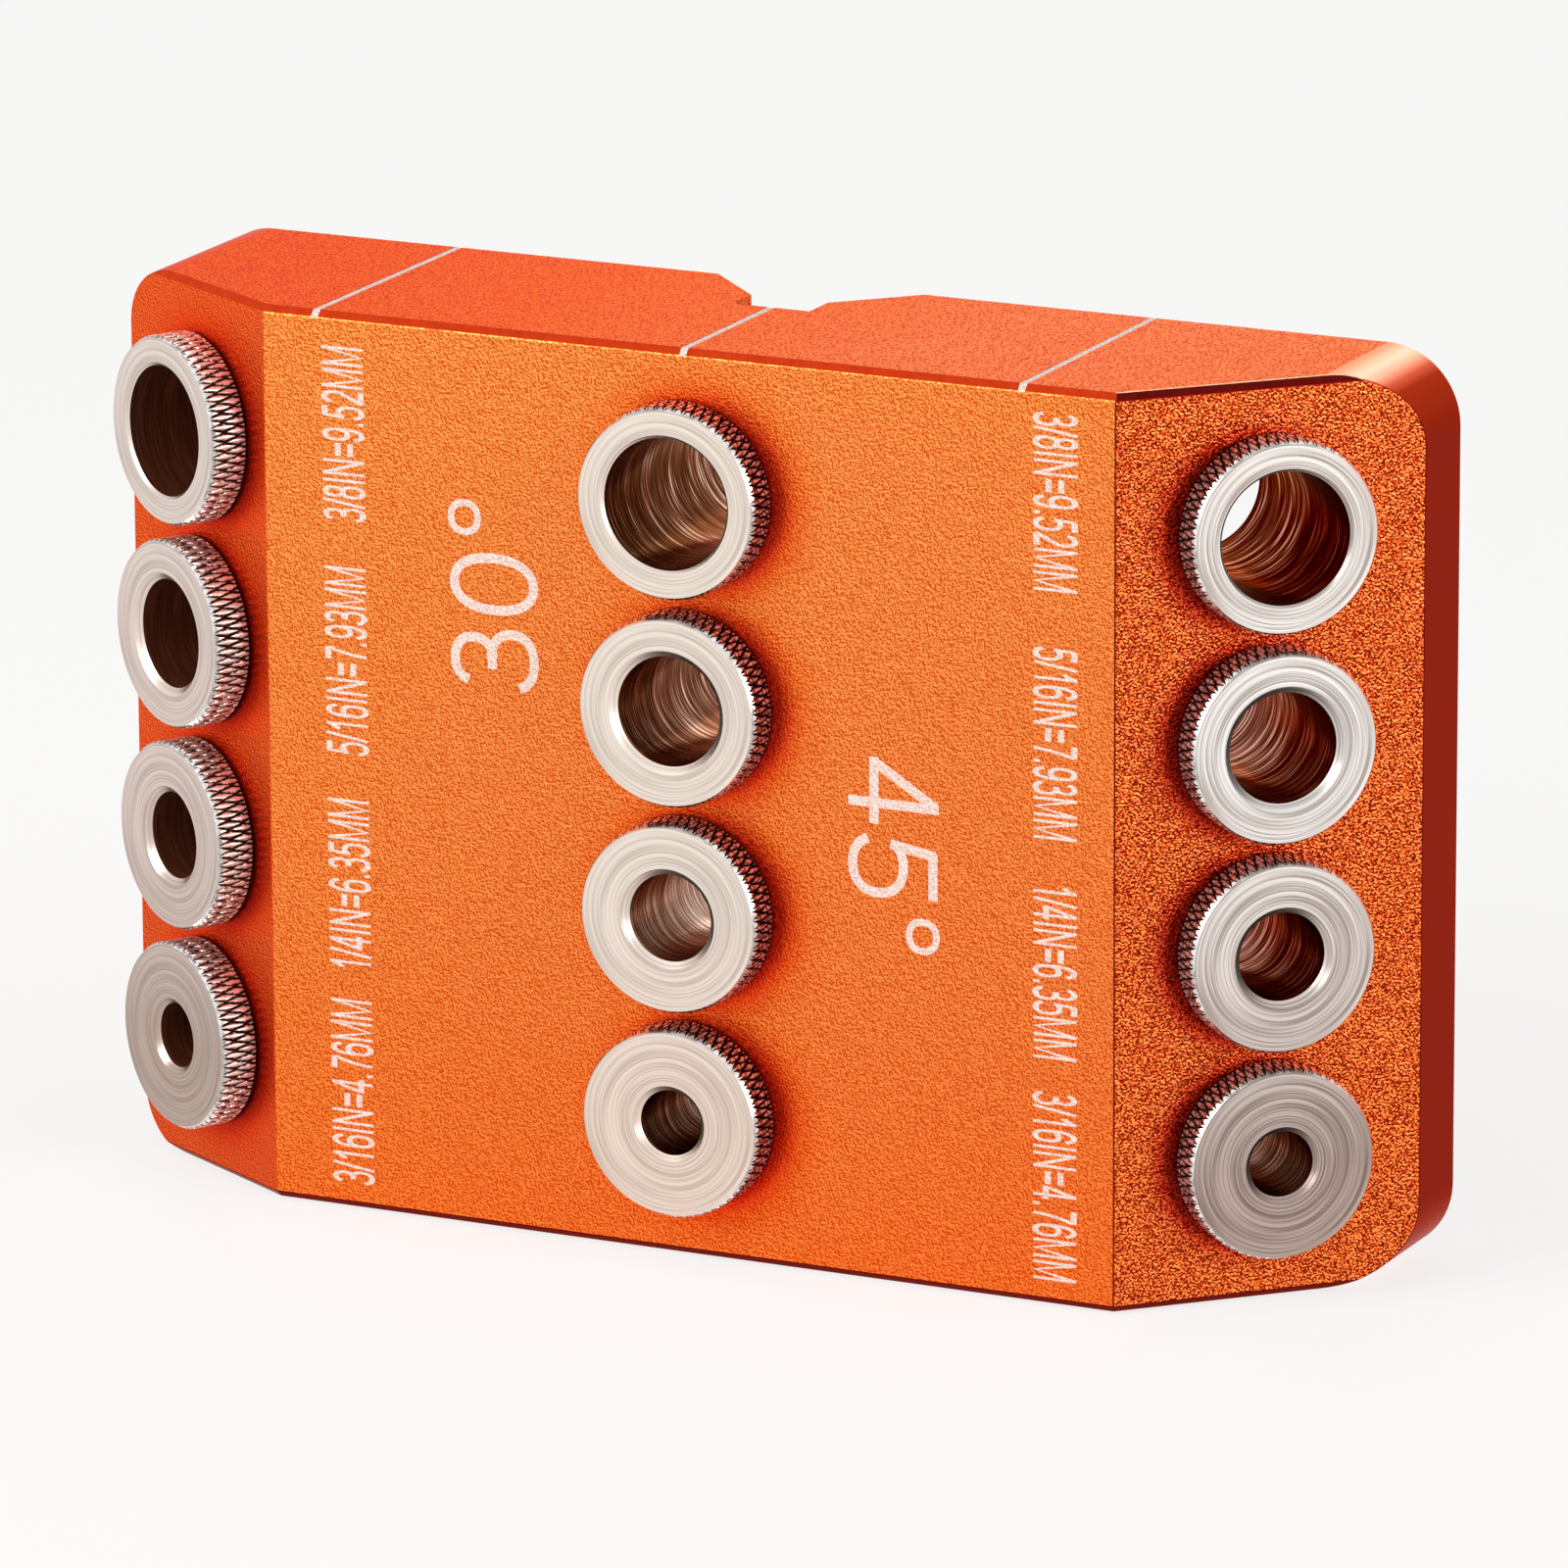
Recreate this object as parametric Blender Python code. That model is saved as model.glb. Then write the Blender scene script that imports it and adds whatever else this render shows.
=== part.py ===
"""Drill guide: a grooved aluminium block that carries drill bushes with knurled heads.

The block stands on its lower end, with the bush heads towards -Y and the grooved
base towards +Y. Its front is one wide flat between two sloping faces. Each of the
three holds a column of bushes square to it, so that a drill enters the work at
90 degrees, or leaning by the tilt of the sloping face.
"""
import math

import bmesh
import bpy
from mathutils import Vector

MM = 0.001

# Block: a prism along Z, its corners rounded as seen from the front
BLOCK_WIDTH = 98.0 * MM
BLOCK_DEPTH = 22.5 * MM
LEFT_FACE_WIDTH = 18.0 * MM
LEFT_TILT = math.radians(30.0)
RIGHT_FACE_WIDTH = 23.0 * MM
RIGHT_TILT = math.radians(45.0)
LEFT_CORNER_RADIUS = 4.5 * MM
RIGHT_CORNER_RADIUS = 5.5 * MM
END_CHAMFER = 0.5 * MM

# Groove along the base: a vee that holds round stock, with a relief slot under it
GROOVE_WIDTH = 16.4 * MM
GROOVE_ANGLE = math.radians(90.0)
SLOT_WIDTH = 6.0 * MM
SLOT_DEPTH = 3.0 * MM

# Bushes: one for each drill size, from the top row down, the same in every column
DRILL_SIZES = (
    ("3_8in", 9.525 * MM),
    ("5_16in", 7.9375 * MM),
    ("1_4in", 6.35 * MM),
    ("3_16in", 4.7625 * MM),
)
MOUTH_CHAMFERS = (0.2 * MM, 0.5 * MM, 0.5 * MM, 0.4 * MM)
HEAD_DIAMETER = 13.8 * MM
HEAD_HEIGHT = 3.0 * MM
RIM_CHAMFER = 0.2 * MM
SLEEVE_DIAMETER = 12.0 * MM
TAIL_CHAMFER = 0.8 * MM
# Clear space between neighbouring heads, and from the last heads to the block's ends
HEAD_SPACING = 1.2 * MM
END_SPACING = 3.6 * MM

# Diamond knurl of the heads: crests around, rows of crests along, depth of the cut
KNURL_CRESTS = 32
KNURL_ROWS = 4
KNURL_DEPTH = 0.25 * MM

# Clearance between a bush and the block, around its sleeve and under its head
FIT_GAP = 0.3 * MM
# How far a cutter runs past what it cuts
OVERRUN = 5.0 * MM

CORNER_SEGMENTS = 8
ROUND_SEGMENTS = 24

# Places worked out from the sizes above
ROW_PITCH = HEAD_DIAMETER + HEAD_SPACING
BLOCK_LENGTH = len(DRILL_SIZES) * ROW_PITCH - HEAD_SPACING + 2 * END_SPACING
FRONT_Y = (HEAD_HEIGHT - BLOCK_DEPTH) / 2
BASE_Y = FRONT_Y + BLOCK_DEPTH
LEFT_EDGE_X = -BLOCK_WIDTH / 2 + LEFT_FACE_WIDTH * math.cos(LEFT_TILT)
RIGHT_EDGE_X = BLOCK_WIDTH / 2 - RIGHT_FACE_WIDTH * math.cos(RIGHT_TILT)
MIDDLE_X = (LEFT_EDGE_X + RIGHT_EDGE_X) / 2
VEE_DEPTH = (GROOVE_WIDTH - SLOT_WIDTH) / 2 / math.tan(GROOVE_ANGLE / 2)
GROOVE_DEPTH = VEE_DEPTH + SLOT_DEPTH
# The sleeves end level with the slot's ceiling
SLEEVE_LENGTH = BLOCK_DEPTH - GROOVE_DEPTH


def remove_everything():
    """Start from an empty scene."""
    for item in list(bpy.data.objects):
        bpy.data.objects.remove(item, do_unlink=True)


def make_material(name, color, metallic, roughness):
    """One Principled finish."""
    material = bpy.data.materials.new(name)
    material.use_nodes = True
    shader = material.node_tree.nodes["Principled BSDF"]
    shader.inputs["Base Color"].default_value = (*color, 1.0)
    shader.inputs["Metallic"].default_value = metallic
    shader.inputs["Roughness"].default_value = roughness
    material.diffuse_color = (*color, 1.0)
    return material


def finish_mesh(bm, name):
    """Turn a closed bmesh into a mesh with outward faces and crisp edges."""
    bmesh.ops.recalc_face_normals(bm, faces=bm.faces[:])
    mesh = bpy.data.meshes.new(name)
    bm.to_mesh(mesh)
    bm.free()
    mesh.shade_smooth()
    mesh.set_sharp_from_angle(angle=math.radians(30.0))
    return mesh


def add_object(name, mesh, parent=None):
    """Link a mesh object to the scene, under a parent where one is given."""
    item = bpy.data.objects.new(name, mesh)
    bpy.context.scene.collection.objects.link(item)
    item.parent = parent
    return item


def mark_cutter(item):
    """Show a cutter as wire and keep it out of the model."""
    item.display_type = "WIRE"
    item.hide_render = True


def extrude_outline(points, direction):
    """Solid between a flat outline and its copy moved by a vector."""
    bm = bmesh.new()
    face = bm.faces.new([bm.verts.new(point) for point in points])
    moved = bmesh.ops.extrude_face_region(bm, geom=[face])
    verts = [item for item in moved["geom"] if isinstance(item, bmesh.types.BMVert)]
    bmesh.ops.translate(bm, verts=verts, vec=direction)
    return bm


def arc(center_x, center_z, radius, start):
    """Quarter circle in the front view, anticlockwise from a start angle."""
    points = []
    for step in range(CORNER_SEGMENTS + 1):
        angle = start + math.pi / 2 * step / CORNER_SEGMENTS
        x = center_x + radius * math.cos(angle)
        z = center_z + radius * math.sin(angle)
        points.append(Vector((x, FRONT_Y, z)))
    return points


def front_outline():
    """The block as seen from the front: a rectangle with rounded corners."""
    left_x = -BLOCK_WIDTH / 2 + LEFT_CORNER_RADIUS
    right_x = BLOCK_WIDTH / 2 - RIGHT_CORNER_RADIUS
    left_top = BLOCK_LENGTH - LEFT_CORNER_RADIUS
    right_top = BLOCK_LENGTH - RIGHT_CORNER_RADIUS
    return (
        arc(right_x, right_top, RIGHT_CORNER_RADIUS, 0.0)
        + arc(left_x, left_top, LEFT_CORNER_RADIUS, math.pi / 2)
        + arc(left_x, LEFT_CORNER_RADIUS, LEFT_CORNER_RADIUS, math.pi)
        + arc(right_x, RIGHT_CORNER_RADIUS, RIGHT_CORNER_RADIUS, math.pi * 1.5)
    )


def mill_flat(bm, point, normal):
    """Cut away what stands proud of a plane and close the cut."""
    geometry = bm.verts[:] + bm.edges[:] + bm.faces[:]
    cut = bmesh.ops.bisect_plane(
        bm, geom=geometry, dist=1e-7, plane_co=point, plane_no=normal, clear_outer=True
    )
    edges = [item for item in cut["geom_cut"] if isinstance(item, bmesh.types.BMEdge)]
    bmesh.ops.edgeloop_fill(bm, edges=edges)


def face_normal(tilt):
    """Outward direction of a working face, turned from the front by its tilt."""
    return Vector((math.sin(tilt), -math.cos(tilt), 0.0))


def working_faces():
    """A point on each working face at its front edge, with the face's tilt."""
    left = Vector((LEFT_EDGE_X, FRONT_Y, 0.0))
    right = Vector((RIGHT_EDGE_X, FRONT_Y, 0.0))
    return ((left, -LEFT_TILT), (left, 0.0), (right, RIGHT_TILT))


def block_mesh():
    """Sawn blank, milled to its three working faces, with their ends chamfered."""
    bm = extrude_outline(front_outline(), Vector((0.0, BLOCK_DEPTH, 0.0)))
    for point, tilt in working_faces():
        if tilt:
            mill_flat(bm, point, face_normal(tilt))
    for point, tilt in working_faces():
        upper = point + Vector((0.0, 0.0, BLOCK_LENGTH - END_CHAMFER))
        lower = point + Vector((0.0, 0.0, END_CHAMFER))
        mill_flat(bm, upper, face_normal(tilt) + Vector((0.0, 0.0, 1.0)))
        mill_flat(bm, lower, face_normal(tilt) - Vector((0.0, 0.0, 1.0)))
    return finish_mesh(bm, "guide_block")


def groove_mesh():
    """Cutter for the vee and its relief slot, run past both ends and the base."""
    run_out = OVERRUN * math.tan(GROOVE_ANGLE / 2)
    half_mouth = GROOVE_WIDTH / 2 + run_out
    half_slot = SLOT_WIDTH / 2
    profile = (
        (-half_mouth, BASE_Y + OVERRUN),
        (-half_slot, BASE_Y - VEE_DEPTH),
        (-half_slot, BASE_Y - GROOVE_DEPTH),
        (half_slot, BASE_Y - GROOVE_DEPTH),
        (half_slot, BASE_Y - VEE_DEPTH),
        (half_mouth, BASE_Y + OVERRUN),
    )
    points = [Vector((MIDDLE_X + x, y, -OVERRUN)) for x, y in profile]
    bm = extrude_outline(points, Vector((0.0, 0.0, BLOCK_LENGTH + 2 * OVERRUN)))
    return finish_mesh(bm, "groove_cutter")


def ring(bm, radius, height, count):
    """Circle of vertices about the local Z axis."""
    verts = []
    for step in range(count):
        angle = 2 * math.pi * step / count
        point = (radius * math.cos(angle), radius * math.sin(angle), height)
        verts.append(bm.verts.new(point))
    return verts


def join_rings(bm, first, second):
    """Close the band between two rings, which may differ in their counts."""
    done_first = 0
    done_second = 0
    while done_first < len(first) or done_second < len(second):
        a = first[done_first % len(first)]
        b = second[done_second % len(second)]
        next_first = (done_first + 1) / len(first)
        next_second = (done_second + 1) / len(second)
        if next_first <= next_second:
            done_first += 1
            bm.faces.new((a, first[done_first % len(first)], b))
        else:
            done_second += 1
            bm.faces.new((a, second[done_second % len(second)], b))


def knurl_ring(bm, row, height):
    """Ring of crests and cuts by turns, half a pitch round from the next row's."""
    verts = []
    for step in range(2 * KNURL_CRESTS):
        cut = KNURL_DEPTH if (step + row) % 2 else 0.0
        radius = HEAD_DIAMETER / 2 - cut
        angle = math.pi * step / KNURL_CRESTS
        point = (radius * math.cos(angle), radius * math.sin(angle), height)
        verts.append(bm.verts.new(point))
    return verts


def knurled_band(bm, bottom, top):
    """Diamond knurl between two heights; gives back its lowest and highest ring."""
    rows = []
    for row in range(KNURL_ROWS):
        height = bottom + (top - bottom) * row / (KNURL_ROWS - 1)
        rows.append(knurl_ring(bm, row, height))
    count = 2 * KNURL_CRESTS
    for row in range(KNURL_ROWS - 1):
        lower = rows[row]
        upper = rows[row + 1]
        for step in range(count):
            after = (step + 1) % count
            corners = (lower[step], lower[after], upper[after], upper[step])
            # The fold joins the two cuts, so that each crest stands as a pyramid
            turn = 1 if (step + row) % 2 == 0 else 0
            a, b, c, d = corners[turn:] + corners[:turn]
            bm.faces.new((a, b, c))
            bm.faces.new((a, c, d))
    return rows[0], rows[-1]


def bush_mesh(name, bore_diameter, mouth_chamfer):
    """Bush about local Z, its head upwards and the block's face at height 0."""
    bm = bmesh.new()
    bore = bore_diameter / 2
    sleeve = SLEEVE_DIAMETER / 2
    rim = HEAD_DIAMETER / 2 - RIM_CHAMFER
    under, shoulder = knurled_band(bm, FIT_GAP, HEAD_HEIGHT - RIM_CHAMFER)
    turned = (
        ring(bm, rim, HEAD_HEIGHT, KNURL_CRESTS),
        ring(bm, bore + mouth_chamfer, HEAD_HEIGHT, ROUND_SEGMENTS),
        ring(bm, bore, HEAD_HEIGHT - mouth_chamfer, ROUND_SEGMENTS),
        ring(bm, bore, -SLEEVE_LENGTH, ROUND_SEGMENTS),
        ring(bm, sleeve - TAIL_CHAMFER, -SLEEVE_LENGTH, ROUND_SEGMENTS),
        ring(bm, sleeve, TAIL_CHAMFER - SLEEVE_LENGTH, ROUND_SEGMENTS),
        ring(bm, sleeve, FIT_GAP, ROUND_SEGMENTS),
    )
    path = (shoulder, *turned, under)
    for first, second in zip(path, path[1:]):
        join_rings(bm, first, second)
    return finish_mesh(bm, name)


def hole_mesh():
    """Cutter for one bush hole, from clear of the face to clear of the base."""
    radius = SLEEVE_DIAMETER / 2 + FIT_GAP
    reach = BLOCK_DEPTH / math.cos(max(LEFT_TILT, RIGHT_TILT)) + OVERRUN
    reach += radius * math.tan(max(LEFT_TILT, RIGHT_TILT))
    bm = bmesh.new()
    top = ring(bm, radius, OVERRUN, ROUND_SEGMENTS)
    bottom = ring(bm, radius, -reach, ROUND_SEGMENTS)
    join_rings(bm, top, bottom)
    bm.faces.new(top)
    bm.faces.new(bottom)
    return finish_mesh(bm, "hole_cutter")


def make_columns():
    """An empty for each column, on the middle of its face and turned to it."""
    left_middle = Vector((-math.cos(LEFT_TILT), math.sin(LEFT_TILT), 0.0)) * LEFT_FACE_WIDTH / 2
    right_middle = Vector((math.cos(RIGHT_TILT), math.sin(RIGHT_TILT), 0.0)) * RIGHT_FACE_WIDTH / 2
    places = (
        ("30deg", Vector((LEFT_EDGE_X, FRONT_Y, 0.0)) + left_middle, -LEFT_TILT),
        ("90deg", Vector((MIDDLE_X, FRONT_Y, 0.0)), 0.0),
        ("45deg", Vector((RIGHT_EDGE_X, FRONT_Y, 0.0)) + right_middle, RIGHT_TILT),
    )
    columns = []
    for name, location, turn in places:
        column = add_object("column_" + name, None)
        column.location = location
        column.rotation_euler = (0.0, 0.0, turn)
        columns.append((name, column))
    return columns


def row_height(row):
    """Height of a row's axis: the rows are centred on the block's length."""
    middle = (len(DRILL_SIZES) - 1) / 2
    return BLOCK_LENGTH / 2 + (middle - row) * ROW_PITCH


def seat_in_column(item, row):
    """Point local +Z out of the column's face, at the height of a row."""
    item.location = (0.0, 0.0, row_height(row))
    item.rotation_euler = (math.pi / 2, 0.0, 0.0)


def cut_block(block, columns):
    """Cut the groove and the bush holes out of the block."""
    groove = add_object("groove_cutter", groove_mesh())
    mark_cutter(groove)
    holes = bpy.data.collections.new("hole_cutters")
    bpy.context.scene.collection.children.link(holes)
    mesh = hole_mesh()
    for name, column in columns:
        for row in range(len(DRILL_SIZES)):
            cutter = bpy.data.objects.new(f"hole_cutter_{name}_{row}", mesh)
            holes.objects.link(cutter)
            cutter.parent = column
            seat_in_column(cutter, row)
            mark_cutter(cutter)
    vee = block.modifiers.new("groove", "BOOLEAN")
    vee.solver = "EXACT"
    vee.operation = "DIFFERENCE"
    vee.object = groove
    bores = block.modifiers.new("bush_holes", "BOOLEAN")
    bores.solver = "EXACT"
    bores.operation = "DIFFERENCE"
    bores.operand_type = "COLLECTION"
    bores.collection = holes


def main():
    """Build the block and its bushes."""
    remove_everything()
    anodised = make_material("orange_anodised_aluminium", (0.80, 0.17, 0.03), 0.35, 0.45)
    steel = make_material("turned_steel", (0.68, 0.64, 0.60), 1.0, 0.28)
    columns = make_columns()
    block = add_object("guide_block", block_mesh())
    block.data.materials.append(anodised)
    cut_block(block, columns)
    for row, (size, bore) in enumerate(DRILL_SIZES):
        mesh = bush_mesh("bush_" + size, bore, MOUTH_CHAMFERS[row])
        mesh.materials.append(steel)
        for name, column in columns:
            bush = add_object(f"bush_{name}_{size}", mesh, column)
            seat_in_column(bush, row)


main()
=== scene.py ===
"""Looks of the drill guide: the anodised block, its turned and knurled bushes, and its marks.

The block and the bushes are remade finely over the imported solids, in the same places.
Lengths are in metres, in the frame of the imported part.
"""
import math

import bmesh
import bpy
from mathutils import Matrix, Vector

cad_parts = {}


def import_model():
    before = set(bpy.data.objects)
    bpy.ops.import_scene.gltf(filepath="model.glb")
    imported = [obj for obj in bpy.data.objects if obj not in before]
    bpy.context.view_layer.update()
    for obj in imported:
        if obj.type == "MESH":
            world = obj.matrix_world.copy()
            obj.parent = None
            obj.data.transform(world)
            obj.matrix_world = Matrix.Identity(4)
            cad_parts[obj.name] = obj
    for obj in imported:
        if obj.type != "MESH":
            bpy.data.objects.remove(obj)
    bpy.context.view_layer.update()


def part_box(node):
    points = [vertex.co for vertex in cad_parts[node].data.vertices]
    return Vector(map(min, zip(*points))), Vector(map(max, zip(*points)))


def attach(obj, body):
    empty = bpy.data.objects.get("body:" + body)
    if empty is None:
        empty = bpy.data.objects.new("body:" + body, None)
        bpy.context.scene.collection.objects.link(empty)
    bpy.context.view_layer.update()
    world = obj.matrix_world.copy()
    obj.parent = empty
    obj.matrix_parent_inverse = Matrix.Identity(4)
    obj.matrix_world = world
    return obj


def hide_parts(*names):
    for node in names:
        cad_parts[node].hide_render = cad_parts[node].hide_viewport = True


MM = 0.001
WHITE = (1.0, 1.0, 1.0, 1.0)
# Places closer than this count as one
TOUCH = 1e-6

# Block, as the solids have it
LEFT_FACE_WIDTH = 18.0 * MM
LEFT_TILT = math.radians(30.0)
RIGHT_FACE_WIDTH = 23.0 * MM
RIGHT_TILT = math.radians(45.0)
LEFT_CORNER_RADIUS = 4.5 * MM
RIGHT_CORNER_RADIUS = 5.5 * MM
END_CHAMFER = 0.5 * MM
GROOVE_WIDTH = 16.4 * MM
GROOVE_ANGLE = math.radians(90.0)
SLOT_WIDTH = 6.0 * MM
SLOT_DEPTH = 3.0 * MM

# Bushes, as the solids have them
ROW_PITCH = 15.0 * MM
DRILL_SIZES = (
    ("3_8in", 9.525 * MM),
    ("5_16in", 7.9375 * MM),
    ("1_4in", 6.35 * MM),
    ("3_16in", 4.7625 * MM),
)
MOUTH_CHAMFERS = (0.2 * MM, 0.5 * MM, 0.5 * MM, 0.4 * MM)
HEAD_DIAMETER = 13.8 * MM
HEAD_HEIGHT = 3.0 * MM
SLEEVE_DIAMETER = 12.0 * MM
TAIL_CHAMFER = 0.8 * MM

# Fine form that only this scene has
CORNER_SEGMENTS = 20
SHARP_EDGE = math.radians(20.0)
EDGE_BREAK = 0.1 * MM
BREAK_SEGMENTS = 2
SLIVER = 0.03 * MM
ROUND_SEGMENTS = 120
SEAT_GAP = 0.03 * MM
RIM_RADIUS = 6.68 * MM
HEAD_CREST = HEAD_DIAMETER / 2 + 0.02 * MM
RIM_BEVEL_HEIGHT = 0.36 * MM
FOOT_BEVEL = 0.25 * MM
FOOT_BEVEL_HEIGHT = 0.3 * MM
KNURL_TEETH = 60
DIAMOND_LENGTH = 2.3 * MM
KNURL_BANDS = 2
KNURL_BOTTOM = -1.47 * MM
KNURL_DEPTH = 0.2 * MM
TOOTH_FLANK = 0.17 * MM
TOOTH_CROWN = 0.09 * MM
CROWN_RISE = 0.05 * MM
# Solid stock below the knurl that the bush's sleeve is turned from
STOCK_RADIUS = 6.4 * MM
STOCK_END = -20.0 * MM
# How far cutting tools run past the block
OVERRUN = 5.0 * MM
# Angles above which edges stay sharp in the shading, in degrees
BLOCK_SHADE_ANGLE = 14.0
BUSH_SHADE_ANGLE = 33.0
MARK_SHADE_ANGLE = 30.0
# Mesh attribute with each place on a bush before it is seated, in millimetres
LATHE = "lathe"

# Marks on the front face: where their baselines run, and each size's text and middles in Z
LEFT_MARKS_X = -25.45 * MM
RIGHT_MARKS_X = 26.58 * MM
SIZE_MARKS = (
    ("3_8in", "3/8IN=9.52MM", 57.28 * MM, 57.88 * MM),
    ("5_16in", "5/16IN=7.93MM", 40.7 * MM, 40.68 * MM),
    ("1_4in", "1/4IN=6.35MM", 24.17 * MM, 24.27 * MM),
    ("3_16in", "3/16IN=4.76MM", 8.76 * MM, 8.67 * MM),
)
LEFT_ANGLE_PLACE = (-11.8 * MM, 39.4 * MM)
RIGHT_ANGLE_PLACE = (12.35 * MM, 38.45 * MM)
MARK_RISE = 0.012 * MM
DEGREE_WEIGHT = 0.72
# Lettering: stroke on the letters' grid, scale along and across, share of a text before its place
SIZE_LETTERING = (0.101, 1.95 * MM, 4.62 * MM, 0.5)
ANGLE_LETTERING = (0.073, 9.75 * MM, 9.75 * MM, 0.0)

# Index lines on the upper end
INDEX_LINE_WIDTH = 0.56 * MM
INDEX_LINE_DEPTH = 0.02 * MM
LEFT_LINE_X = -29.3 * MM
RIGHT_LINE_X = 25.6 * MM

# Camera, fitted to the photograph's edges
CAMERA_AZIMUTH = math.radians(25.75)
CAMERA_ELEVATION = math.radians(15.14)
CAMERA_ROLL = math.radians(-0.28)
CAMERA_DISTANCE = 0.864
CAMERA_LENS = 279.54
SENSOR_WIDTH = 36.0
AIM_POINT = Vector((1.588, 0.25, 33.0)) * MM
AIM_SHIFT = (-0.88 * MM, 0.58 * MM)


def new_object(name, data):
    """New object in the scene for a mesh, a curve, a light or a camera."""
    item = bpy.data.objects.new(name, data)
    bpy.context.scene.collection.objects.link(item)
    return item


def mesh_of(bm, name):
    """Mesh from a bmesh, which is freed."""
    mesh = bpy.data.meshes.new(name)
    bm.to_mesh(mesh)
    bm.free()
    return mesh


def closed_mesh(bm, name):
    """Mesh from a closed bmesh, with its normals turned outwards."""
    bmesh.ops.recalc_face_normals(bm, faces=bm.faces)
    return mesh_of(bm, name)


def shade(mesh, degrees):
    """Smooth shading that breaks at edges sharper than an angle."""
    mesh.shade_smooth()
    mesh.set_sharp_from_angle(angle=math.radians(degrees))


def final_mesh(item):
    """Mesh that an object ends up with; the object leaves the scene."""
    shown = item.evaluated_get(bpy.context.evaluated_depsgraph_get())
    mesh = bpy.data.meshes.new_from_object(shown)
    bpy.data.objects.remove(item)
    return mesh


def boolean(name, body, tools, operation):
    """Mesh of a body cut or kept by tools, all of them taken out of the scene."""
    target = new_object(name, body)
    helpers = [new_object(name + "_tool", tool) for tool in tools]
    for helper in helpers:
        step = target.modifiers.new(helper.name, "BOOLEAN")
        step.solver = "EXACT"
        step.operation = operation
        step.object = helper
    made = final_mesh(target)
    made.name = name
    for helper in helpers:
        bpy.data.objects.remove(helper)
    return made


def edges_between(verts):
    """Edges that have both ends in a group of vertices."""
    group = set(verts)
    touching = dict.fromkeys(e for v in verts for e in v.link_edges)
    return [e for e in touching if set(e.verts) <= group]


def new_verts(made):
    """Vertices in what an operator made."""
    return [item for item in made["geom"] if isinstance(item, bmesh.types.BMVert)]


def extrude_and_move(bm, edges, offset):
    """Extrude a loop of edges by a vector; gives the new loop's vertices."""
    verts = new_verts(bmesh.ops.extrude_edge_only(bm, edges=edges))
    bmesh.ops.translate(bm, verts=verts, vec=offset)
    return verts


def bevel(bm, edges, offset, segments):
    """Round off edges."""
    bmesh.ops.bevel(
        bm,
        geom=edges,
        offset=offset,
        offset_type="OFFSET",
        affect="EDGES",
        segments=segments,
        profile=0.5,
        clamp_overlap=True,
        material=-1,
    )


def prism(bm, points, offset):
    """Solid between a flat face and its copy moved by a vector."""
    face = bm.faces.new([bm.verts.new(point) for point in points])
    made = bmesh.ops.extrude_face_region(bm, geom=[face])
    bmesh.ops.translate(bm, verts=new_verts(made), vec=offset)


def face_normal(tilt):
    """Outward direction of a working face, turned from the front by its tilt."""
    return Vector((math.sin(tilt), -math.cos(tilt), 0.0))


def mill_flat(bm, point, normal):
    """Cut away what stands proud of a plane and close the cut."""
    geometry = bm.verts[:] + bm.edges[:] + bm.faces[:]
    cut = bmesh.ops.bisect_plane(
        bm, geom=geometry, dist=TOUCH / 10, plane_co=point, plane_no=normal, clear_outer=True
    )
    edges = [item for item in cut["geom_cut"] if isinstance(item, bmesh.types.BMEdge)]
    bmesh.ops.edgeloop_fill(bm, edges=edges)


class Block:
    """Places on the block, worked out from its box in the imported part."""

    def __init__(self):
        self.low, self.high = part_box("guide_block")
        self.front_y = self.low.y
        self.base_y = self.high.y
        self.left_x = self.low.x + LEFT_FACE_WIDTH * math.cos(LEFT_TILT)
        self.right_x = self.high.x - RIGHT_FACE_WIDTH * math.cos(RIGHT_TILT)
        self.middle_x = (self.left_x + self.right_x) / 2
        self.middle_z = (self.low.z + self.high.z) / 2
        self.left_edge = Vector((self.left_x, self.front_y, 0.0))
        self.right_edge = Vector((self.right_x, self.front_y, 0.0))
        self.slopes = ((self.left_edge, -LEFT_TILT), (self.right_edge, RIGHT_TILT))
        self.vee_depth = (GROOVE_WIDTH - SLOT_WIDTH) / 2 / math.tan(GROOVE_ANGLE / 2)
        self.groove_depth = self.vee_depth + SLOT_DEPTH
        self.sleeve_length = self.base_y - self.front_y - self.groove_depth

    def columns(self):
        """Name and frame of each column, whose local Z points out of its face."""
        left = Vector((-math.cos(LEFT_TILT), math.sin(LEFT_TILT), 0.0)) * LEFT_FACE_WIDTH / 2
        right = Vector((math.cos(RIGHT_TILT), math.sin(RIGHT_TILT), 0.0)) * RIGHT_FACE_WIDTH / 2
        places = (
            ("30deg", self.left_edge + left, -LEFT_TILT),
            ("90deg", Vector((self.middle_x, self.front_y, 0.0)), 0.0),
            ("45deg", self.right_edge + right, RIGHT_TILT),
        )
        upright = Matrix.Rotation(math.pi / 2, 4, "X")
        for name, place, turn in places:
            yield name, Matrix.Translation(place) @ Matrix.Rotation(turn, 4, "Z") @ upright

    def row_z(self, row):
        """Height of a row's axis."""
        return self.middle_z + ((len(DRILL_SIZES) - 1) / 2 - row) * ROW_PITCH

    def seats(self):
        """Column name, row and frame of each bush."""
        for name, frame in self.columns():
            for row in range(len(DRILL_SIZES)):
                yield name, row, Matrix.Translation((0.0, 0.0, self.row_z(row))) @ frame


def edges_along_y(bm, x):
    """Edges of a cube that run along Y on one of its sides."""
    found = []
    for edge in bm.edges:
        first, second = (vert.co for vert in edge.verts)
        along_y = abs(first.z - second.z) < TOUCH < abs(first.y - second.y)
        if along_y and abs(first.x - x) < TOUCH and abs(second.x - x) < TOUCH:
            found.append(edge)
    return found


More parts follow.
